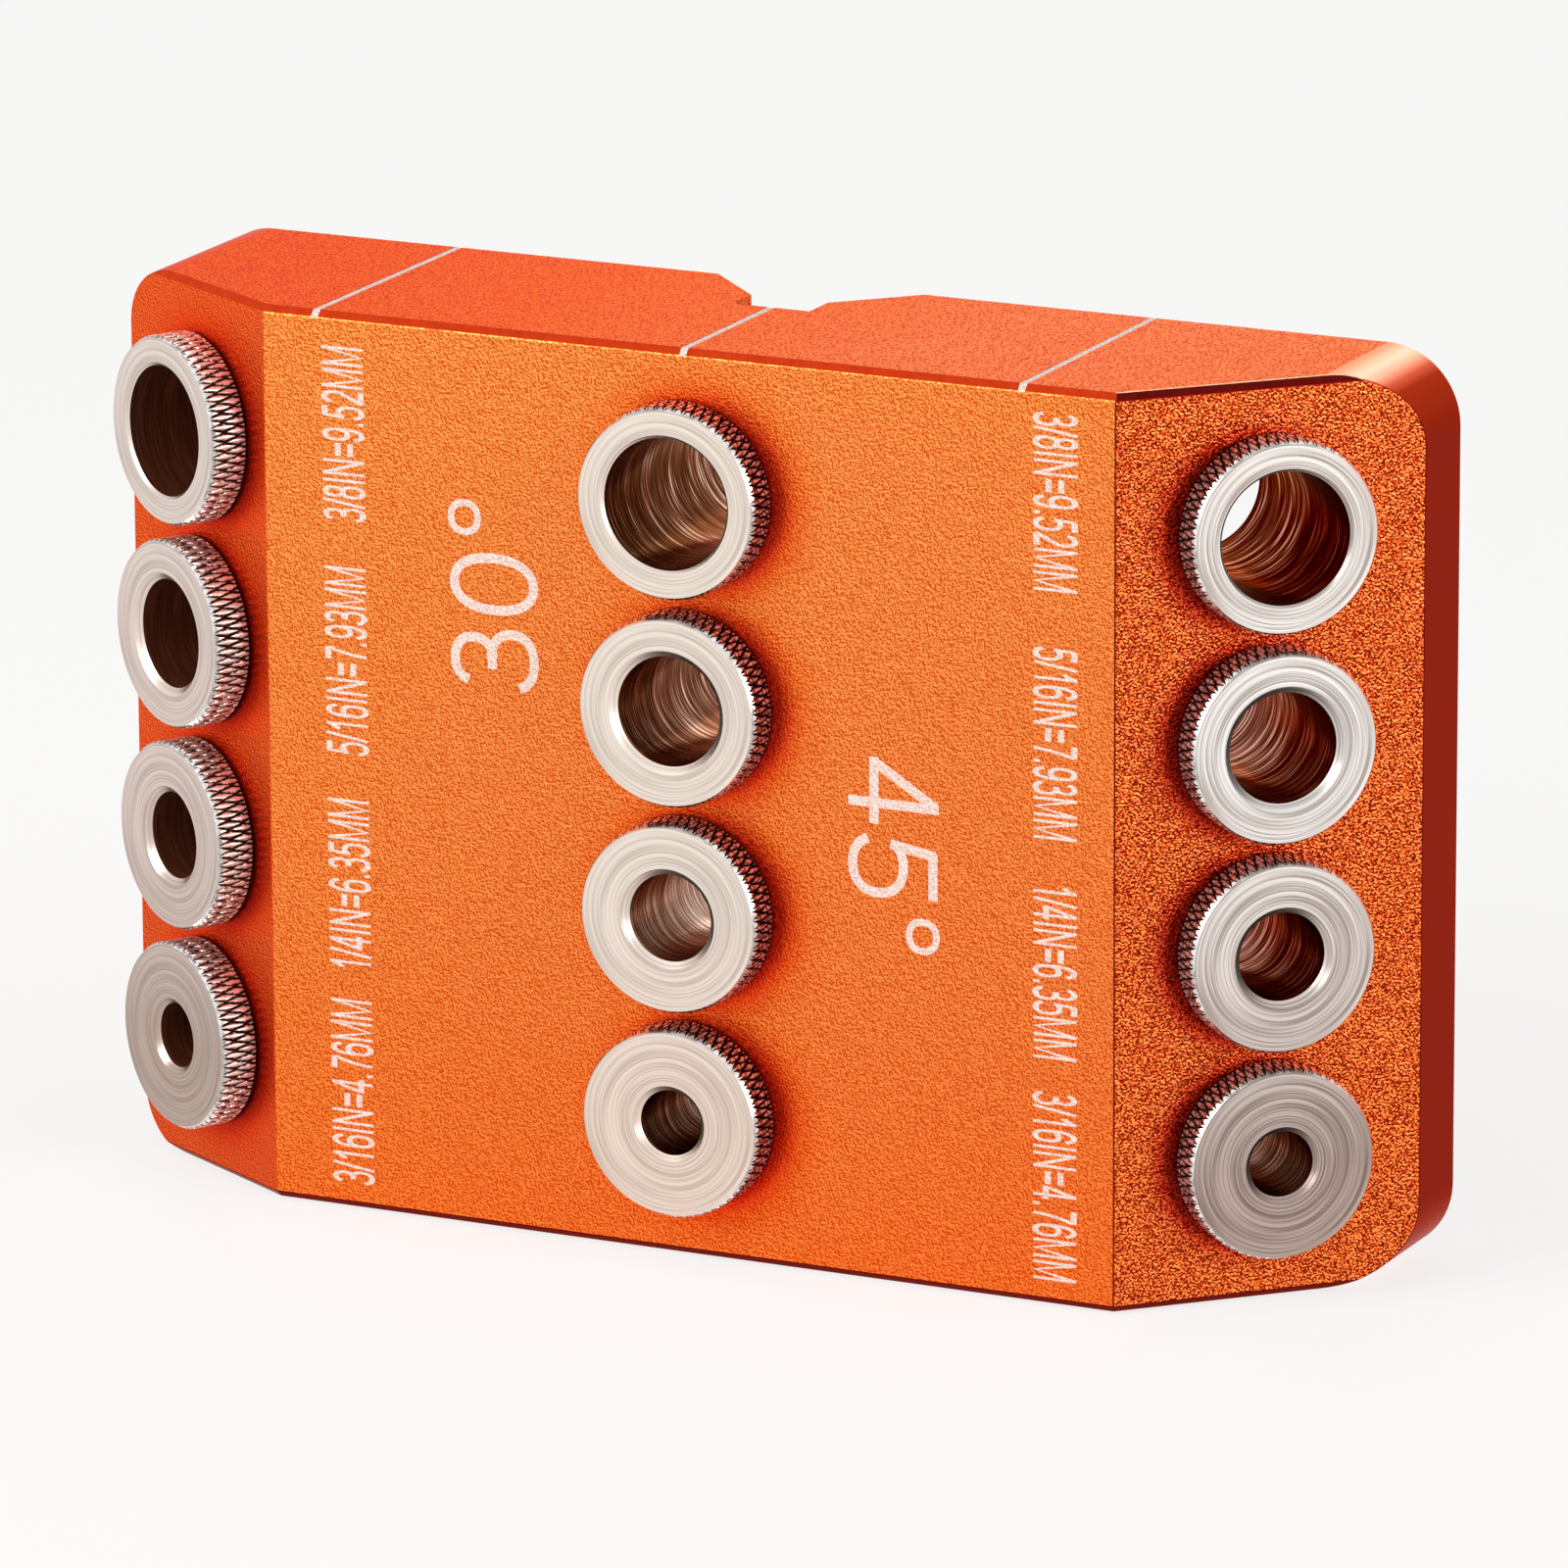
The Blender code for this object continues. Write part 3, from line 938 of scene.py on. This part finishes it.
def radius_side(blast, name, shades):
    """Milled narrow side with its corner radii, in shades from upright to level that paint its
    shade and the radii's highlight.
    """
    finish = Finish("anodised_" + name, metallic=1.0, roughness=0.33, edge_tint=EDGE_TINT)
    facing = finish.split(finish.place("Normal"))
    finish.dye(finish.work_out("ABSOLUTE", facing["Z"]), shades)
    finish.bump(finish.group(blast, Grains_per_metre=3000.0)["Height"], 0.003 * MM)
    return finish


# Shades of each face, from the grain's shaded sides to its lit ones: place, red, green and blue
# The working faces and the end share one dye: how their shades differ is painted light and shade
FRONT_SHADES = ((0.0, 0.69, 0.090, 0.006), (1.0, 1.0, 0.385, 0.088))
LEFT_SHADES = ((0.0, 0.56, 0.047, 0.007), (1.0, 1.0, 0.155, 0.028))
RIGHT_SHADES = (
    (0.0, 0.15, 0.006, 0.002),
    (0.35, 0.44, 0.030, 0.005),
    (0.7, 0.86, 0.12, 0.014),
    (1.0, 1.0, 0.31, 0.076),
)
END_SHADES = ((0.0, 0.58, 0.033, 0.012), (1.0, 0.96, 0.285, 0.112))
CUT_SHADES = ((0.0, 0.56, 0.035, 0.005), (1.0, 0.66, 0.050, 0.007))
# Painted shade on the chamfers and edge breaks to the right and below
SHADED_CUT_SHADES = ((0.0, 0.11, 0.003, 0.002), (1.0, 0.14, 0.005, 0.003))
GLINT_SHADES = ((0.0, 0.90, 0.50, 0.26), (1.0, 1.0, 0.80, 0.55))
MARK_SHADES = ((0.0, 0.68, 0.43, 0.36), (0.35, 0.83, 0.63, 0.57), (1.0, 0.94, 0.80, 0.75))
# Blasted finishes: name, shades, metallic, roughness, grains per metre, relief and softness
BLASTED = {
    FRONT: ("front", FRONT_SHADES, 0.85, 0.32, 6800.0, 0.025 * MM, 0.17),
    LEFT: ("left", LEFT_SHADES, 0.85, 0.32, 6400.0, 0.03 * MM, 0.15),
    RIGHT: ("right", RIGHT_SHADES, 0.85, 0.3, 6600.0, 0.04 * MM, 0.19),
    END: ("end", END_SHADES, 0.85, 0.4, 5200.0, 0.04 * MM, 0.085, END_TINT),
    CUT: ("cut", CUT_SHADES, 0.8, 0.3, 1500.0, 0.002 * MM, 0.14),
    SHADED_CUT: ("shaded_cut", SHADED_CUT_SHADES, 0.9, 0.3, 1500.0, 0.002 * MM, 0.14),
    GLINT: ("glint", GLINT_SHADES, 0.3, 0.3, 2500.0, 0.01 * MM, 0.14),
}
# Painted shade around the bush heads, from their edges outwards
HEAD_SHADE_RAMP = {
    "30deg": (
        (0.0, 0.60, 0.14, 0.20),
        (0.15, 0.83, 0.25, 0.16),
        (0.35, 1.0, 0.6, 0.45),
        (0.6, 1.0, 0.85, 0.75),
        (0.9, 1.0, 1.0, 1.0),
    ),
    "90deg": (
        (0.0, 0.76, 0.125, 0.17),
        (0.15, 1.0, 0.34, 0.24),
        (0.35, 1.0, 0.64, 0.43),
        (0.6, 1.0, 0.87, 0.74),
        (1.0, 1.0, 1.0, 1.0),
    ),
    "45deg": (
        (0.0, 0.42, 0.085, 0.12),
        (0.15, 0.88, 0.36, 0.47),
        (0.35, 0.90, 0.84, 0.92),
        (0.6, 1.0, 1.0, 1.0),
    ),
}
# Painted light and shade from the foot of a face to its top
FRONT_RISE = (
    (0.0, 1.0, 0.66, 0.42),
    (0.35, 0.97, 0.82, 0.79),
    (0.75, 0.97, 0.94, 0.94),
    (1.0, 1.0, 1.0, 1.0),
)
LEFT_RISE = ((0.0, 0.89, 0.80, 0.90), (1.0, 1.0, 0.97, 0.97))
RIGHT_RISE = ((0.1, 1.0, 1.0, 0.98), (0.9, 0.94, 0.91, 0.97))
# Painted light and shade along the front and the ends, from the 30 degree side to the 45 degree
# side
FRONT_RUN = ((0.2, 1.0, 1.0, 1.0), (0.45, 0.985, 0.915, 0.98))
END_RUN = (
    (0.1, 0.98, 0.45, 0.10),
    (0.35, 0.97, 0.58, 0.22),
    (0.68, 0.87, 0.93, 0.94),
    (0.9, 0.82, 0.89, 0.94),
)
# Narrow sides and corner radii, from upright faces to level ones: painted shade on the sides, and a
# painted highlight on the right radii next to the ends
RIGHT_SIDE_SHADES = (
    (0.0, 0.24, 0.016, 0.012),
    (0.3, 0.30, 0.021, 0.010),
    (0.7, 0.38, 0.033, 0.013),
    (0.8, 0.70, 0.13, 0.06),
    (0.88, 0.96, 0.42, 0.27),
    (0.95, 1.0, 0.62, 0.47),
    (0.985, 1.0, 0.49, 0.32),
    (1.0, 1.0, 0.33, 0.17),
)
LEFT_SIDE_SHADES = ((0.0, 0.25, 0.017, 0.012), (0.7, 0.52, 0.040, 0.013), (1.0, 0.78, 0.105, 0.034))
# Turned faces of the heads by column, lit and shaded copies of one steel: along the turning lines'
# mask, and painted shade from the lowest row up, the lowest heads darkest
LIT_LINES = ((0.0, 0.66, 0.56, 0.49), (1.0, 0.96, 0.83, 0.74))
STRONG_LINES = ((0.0, 0.46, 0.38, 0.33), (1.0, 1.0, 0.92, 0.84))
FACED_SHADES = {
    "30deg": (LIT_LINES, (
        (0.16, 0.55, 0.49, 0.47),
        (0.386, 0.78, 0.74, 0.76),
        (0.614, 0.82, 0.80, 0.81),
        (0.84, 0.86, 0.865, 0.88),
    )),
    "90deg": (LIT_LINES, ((0.16, 0.92, 0.88, 0.855), (0.386, 0.93, 0.935, 0.94))),
    "45deg": (STRONG_LINES, (
        (0.16, 0.49, 0.42, 0.41),
        (0.386, 0.76, 0.75, 0.77),
        (0.614, 0.87, 0.91, 0.97),
        (0.84, 0.82, 0.84, 0.87),
    )),
}
RIM_SHADES = ((0.0, 0.42, 0.36, 0.33), (1.0, 0.93, 0.90, 0.88))
# Knurl: tint where it is seen along, and shades from painted shade in its valleys to painted glints
# on its crests; the columns differ as lit and shaded copies
KNURL_SHADES = {
    "30deg": (WHITE, (
        (0.0, 0.04, 0.009, 0.006),
        (0.4, 0.15, 0.062, 0.048),
        (0.6, 0.93, 0.96, 0.90),
        (0.8, 1.0, 1.0, 0.96),
    )),
    "90deg": ((0.6, 0.38, 0.33, 1.0), (
        (0.0, 0.025, 0.004, 0.003),
        (0.45, 0.10, 0.030, 0.026),
        (0.6, 0.38, 0.20, 0.165),
        (0.75, 0.80, 0.68, 0.64),
        (0.9, 1.0, 1.0, 1.0),
    )),
    "45deg": ((0.85, 0.68, 0.64, 1.0), (
        (0.0, 0.03, 0.004, 0.003),
        (0.4, 0.11, 0.040, 0.033),
        (0.6, 0.56, 0.36, 0.31),
        (0.75, 1.0, 0.96, 0.94),
    )),
}
# Painted glints on the crests: specks per millimetre, noise that spreads them, and share the least
# keep
GLINT_SPECKS = 3.5
GLINT_SPREAD = (0.47, 0.62)
LEAST_GLINT = 0.6
# Bores: metallic, roughness, tint along the wall, and shades from the rings' valleys to crests, the
# brightest being painted glints
WARM_TINT = (0.60, 0.36, 0.27, 1.0)
PLAIN_TINT = (0.84, 0.60, 0.50, 1.0)
# The kinds are lit and shaded copies of one reamed steel, one for where each bore sits
BORES = {
    "brown": (1.0, 0.2, PLAIN_TINT, (
        (0.38, 0.030, 0.009, 0.005),
        (0.5, 0.082, 0.024, 0.013),
        (0.6, 0.33, 0.13, 0.08),
        (0.67, 1.0, 0.78, 0.60),
    )),
    "wide": (1.0, 0.2, PLAIN_TINT, (
        (0.38, 0.05, 0.018, 0.011),
        (0.5, 0.165, 0.062, 0.040),
        (0.6, 0.50, 0.25, 0.17),
        (0.68, 1.0, 0.82, 0.66),
    )),
    "dark_red": (1.0, 0.22, WARM_TINT, (
        (0.38, 0.03, 0.009, 0.007),
        (0.5, 0.085, 0.026, 0.021),
        (0.6, 0.34, 0.12, 0.09),
        (0.68, 1.0, 0.55, 0.42),
    )),
    "red": (1.0, 0.22, WARM_TINT, (
        (0.38, 0.06, 0.025, 0.021),
        (0.5, 0.19, 0.086, 0.072),
        (0.6, 0.58, 0.28, 0.24),
        (0.68, 1.0, 0.72, 0.62),
    )),
    "narrow": (1.0, 0.25, PLAIN_TINT, (
        (0.38, 0.18, 0.090, 0.066),
        (0.5, 0.55, 0.34, 0.26),
        (0.64, 1.0, 0.88, 0.78),
    )),
    "least": (1.0, 0.25, PLAIN_TINT, (
        (0.38, 0.09, 0.045, 0.034),
        (0.5, 0.25, 0.140, 0.105),
        (0.66, 0.90, 0.68, 0.56),
    )),
    "shaded": (0.3, 0.5, WARM_TINT, (
        (0.38, 0.15, 0.041, 0.018),
        (0.5, 0.23, 0.063, 0.028),
        (0.66, 0.37, 0.112, 0.055),
    )),
}
# Painted light and shade inside a bore: share of its colour that it keeps from its mouth down, by
# depth in millimetres, darkest at the mouth
BORE_DEPTH = 15.0
BORE_DEPTH_SHADES = ((0.0, 0.36, 0.34, 0.33), (0.4, 0.58, 0.54, 0.52), (0.85, 1.0, 1.0, 1.0))
BORES_DOWN_COLUMN = {
    "30deg": ("shaded", "shaded", "shaded", "shaded"),
    "90deg": ("brown", "wide", "narrow", "least"),
    "45deg": ("dark_red", "red", "red", "least"),
}
# Working faces: column, tilt, way the painted shade around its heads is off centre, and painted
# light and shade from foot to top
WORKING_FACES = {
    FRONT: ("90deg", 0.0, 1, FRONT_RISE),
    LEFT: ("30deg", LEFT_TILT, 1, LEFT_RISE),
    RIGHT: ("45deg", RIGHT_TILT, -1, RIGHT_RISE),
}


def block_finishes(block, blast, surround):
    """Finishes of the block, in the order of its material slots."""
    finishes = {key: anodised(blast, *values) for key, values in BLASTED.items()}
    finishes[SIDE] = radius_side(blast, "right_side", RIGHT_SIDE_SHADES)
    finishes[LEFT_SIDE] = radius_side(blast, "left_side", LEFT_SIDE_SHADES)
    mark = Finish("laser_mark", metallic=0.0, roughness=0.6)
    mark.dye(mark.group(blast, Grains_per_metre=8000.0)["Mask"], MARK_SHADES)
    finishes[MARK] = mark
    middles = {name: frame.translation.x for name, frame in block.columns()}
    for key, (column, tilt, lean, rise_shades) in WORKING_FACES.items():
        finish = finishes[key]
        flat = math.cos(tilt)
        middle = middles[column] + lean * HEAD_SHADE_SHIFT * flat
        near = finish.group(surround, Column_x=middle, Slope_stretch=1 / flat)
        # Painted shade around the heads, then painted light and shade from the face's foot to its
        # top
        finish.deepen(near["Clearness"], HEAD_SHADE_RAMP[column])
        finish.deepen(near["Rise"], rise_shades)
    # Painted light and shade along the front and the end
    for key, run_shades in ((FRONT, FRONT_RUN), (END, END_RUN)):
        finishes[key].deepen(finishes[key].group(surround)["Run"], run_shades)
    return [finishes[key].material for key in range(len(finishes))]


def faced_steel(column, lathe, surround, line_shades, rise_shades):
    """Turned end face of the heads in one column, with painted shade that darkens its lower heads.
    """
    faced = Finish("steel_faced_" + column, metallic=1.0, roughness=0.3)
    lines = faced.group(lathe, Lines_per_mm=9.0, Breaks_per_mm=0.12, Along_axis=0.0)
    faced.dye(lines["Mask"], line_shades)
    faced.deepen(faced.group(surround)["Rise"], rise_shades)
    faced.bump(lines["Height"], 0.02 * MM, strength=0.7)
    return faced.material


def bored_steel(name, lathe, metallic, roughness, edge_tint, shades):
    """Reamed bore with its fine rings, and painted light that grows from its mouth down."""
    bored = Finish("steel_bored_" + name, metallic, roughness, edge_tint)
    lines = bored.group(lathe, Lines_per_mm=6.5, Breaks_per_mm=0.25, Along_axis=1.0)
    bored.dye(lines["Height"], shades)
    mouth = HEAD_HEIGHT / MM
    height = bored.split(bored.lathe_place())["Z"]
    bored.deepen(bored.share(height, mouth, mouth - BORE_DEPTH), BORE_DEPTH_SHADES)
    bored.bump(lines["Height"], 0.03 * MM)
    return bored.material


def knurled_steel(column, edge_tint, shades):
    """Knurl: painted shade in the valleys, told by their radius, and dull crests with painted
    glints in bright specks.
    """
    knurled = Finish("steel_knurled_" + column, metallic=0.85, roughness=0.32, edge_tint=edge_tint)
    place = knurled.lathe_place()
    x, y, _ = knurled.split(place)
    crest = HEAD_DIAMETER / 2
    rise = knurled.share(knurled.length(x, y), (crest - KNURL_DEPTH) / MM, crest / MM)
    # Specks that lift some crests to the brightest shades are painted glints
    crest_glint = knurled.share(knurled.noise(place, GLINT_SPECKS), *GLINT_SPREAD, least=LEAST_GLINT)
    knurled.dye(knurled.times(rise, crest_glint), shades)
    return knurled.material


def bush_finishes(lathe, surround):
    """Finishes of each bush by column and row, in the order of its material slots."""
    rim = Finish("steel_rim", metallic=1.0, roughness=0.2)
    lines = rim.group(lathe, Lines_per_mm=4.0, Breaks_per_mm=1.2, Along_axis=1.0)
    rim.dye(lines["Mask"], RIM_SHADES)
    bores = {name: bored_steel(name, lathe, *values) for name, values in BORES.items()}
    finishes = {}
    for column, shades in FACED_SHADES.items():
        faced = faced_steel(column, lathe, surround, *shades)
        knurled = knurled_steel(column, *KNURL_SHADES[column])
        for row, name in enumerate(BORES_DOWN_COLUMN[column]):
            finishes[column, row] = (faced, knurled, bores[name], rim.material)
    return finishes


def direction(azimuth, elevation):
    """Way from the object to a place seen at an azimuth from its front and an elevation."""
    flat = math.cos(elevation)
    return Vector((math.sin(azimuth) * flat, -math.cos(azimuth) * flat, math.sin(elevation)))


def camera_frame():
    """Camera position and turn from the fitted angles."""
    back = direction(CAMERA_AZIMUTH, CAMERA_ELEVATION)
    level_right = Vector((0.0, 0.0, 1.0)).cross(back).normalized()
    level_up = back.cross(level_right)
    roll = Matrix.Rotation(CAMERA_ROLL, 3, back)
    right = roll @ level_right
    up = roll @ level_up
    place = AIM_POINT + back * CAMERA_DISTANCE - right * AIM_SHIFT[0] - up * AIM_SHIFT[1]
    turn = Matrix((right, up, back)).transposed()
    return Matrix.Translation(place) @ turn.to_4x4()


def make_camera():
    """Camera at the photograph's viewing angle."""
    data = bpy.data.cameras.new("camera")
    data.lens = CAMERA_LENS
    data.sensor_width = SENSOR_WIDTH
    data.clip_start = 0.05
    data.clip_end = 20.0
    camera = new_object("camera", data)
    camera.matrix_world = camera_frame()
    bpy.context.scene.camera = camera


# Lights: name, azimuth and elevation in degrees, distance, width and height, watts and colour
LIGHTS = (
    ("key", -35.0, 30.0, 0.9, (0.5, 0.5), 5.0, (1.0, 0.97, 0.93)),
    ("back", 192.0, 26.0, 0.8, (0.4, 0.3), 0.45, (1.0, 0.95, 0.93)),
    ("right", 80.0, 14.0, 0.9, (0.5, 0.4), 4.0, (1.0, 0.97, 0.94)),
)
# What the surroundings shed on the object, and the floor under it
GLOW_COLOR = (1.0, 0.98, 0.96, 1.0)
GLOW_STRENGTH = 0.45
FLOOR_COLOR = (0.92, 0.92, 0.92, 1.0)
FLOOR_WHITENESS = 0.75
FLOOR_REACH = 6.0
FLOOR_DROP = 0.05 * MM


def area_light(name, azimuth, elevation, distance, size, watts, color):
    """Soft light aimed at the middle of the object."""
    data = bpy.data.lights.new(name, "AREA")
    data.shape = "RECTANGLE"
    data.size, data.size_y = size
    data.energy = watts
    data.color = color
    lamp = new_object(name, data)
    away = direction(math.radians(azimuth), math.radians(elevation))
    lamp.location = AIM_POINT + away * distance
    lamp.rotation_euler = away.to_track_quat("Z", "Y").to_euler()
    lamp.visible_camera = False


def seen_directly(graph):
    """1 for rays that show the background itself: straight, mirrored or through glass."""
    path = graph.node("LightPath").outputs
    mirrored = graph.work_out("MAXIMUM", path["Is Camera Ray"], path["Is Glossy Ray"])
    return graph.work_out("MAXIMUM", mirrored, path["Is Transmission Ray"])


def make_world():
    """Pale surroundings; white behind the object, softer as a light."""
    world = bpy.data.worlds.new("studio")
    bpy.context.scene.world = world
    world.use_nodes = True
    graph = Graph(world.node_tree)
    white = graph.nodes["Background"]
    graph.feed(white.inputs, Color=WHITE, Strength=1.0)
    glow = graph.node("Background", Color=GLOW_COLOR, Strength=GLOW_STRENGTH).outputs[0]
    mix = graph.row("MixShader", seen_directly(graph), glow, white.outputs[0])
    graph.feed(graph.nodes["World Output"].inputs, Surface=mix.outputs[0])


def make_floor(block):
    """Plain pale floor under the block."""
    bm = bmesh.new()
    bmesh.ops.create_grid(bm, x_segments=1, y_segments=1, size=FLOOR_REACH)
    bmesh.ops.translate(bm, verts=bm.verts, vec=(0.0, 0.0, block.low.z - FLOOR_DROP))
    mesh = mesh_of(bm, "floor")
    pale = Finish("pale_floor", metallic=0.0, roughness=0.9)
    pale.feed(pale.shader, Base_Color=FLOOR_COLOR)
    share = pale.times(seen_directly(pale), FLOOR_WHITENESS)
    glow = pale.node("Emission", Color=WHITE, Strength=1.0).outputs[0]
    mix = pale.row("MixShader", share, pale.nodes["Principled BSDF"].outputs[0], glow)
    pale.feed(pale.nodes["Material Output"].inputs, Surface=mix.outputs[0])
    mesh.materials.append(pale.material)
    floor = new_object("floor", mesh)


def make_studio(block):
    """Floor, surroundings, lights and camera."""
    bpy.context.scene.view_settings.view_transform = "Standard"
    make_floor(block)
    make_world()
    for light in LIGHTS:
        area_light(*light)
    make_camera()


def main():
    """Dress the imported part."""
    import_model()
    block = Block()
    surround = surround_group(block)
    finishes = block_finishes(block, blast_group(), surround)
    make_block(block, finishes)
    make_bushes(block, bush_finishes(lathe_group(), surround))
    make_lettering(block, finishes[MARK])
    make_studio(block)


main()
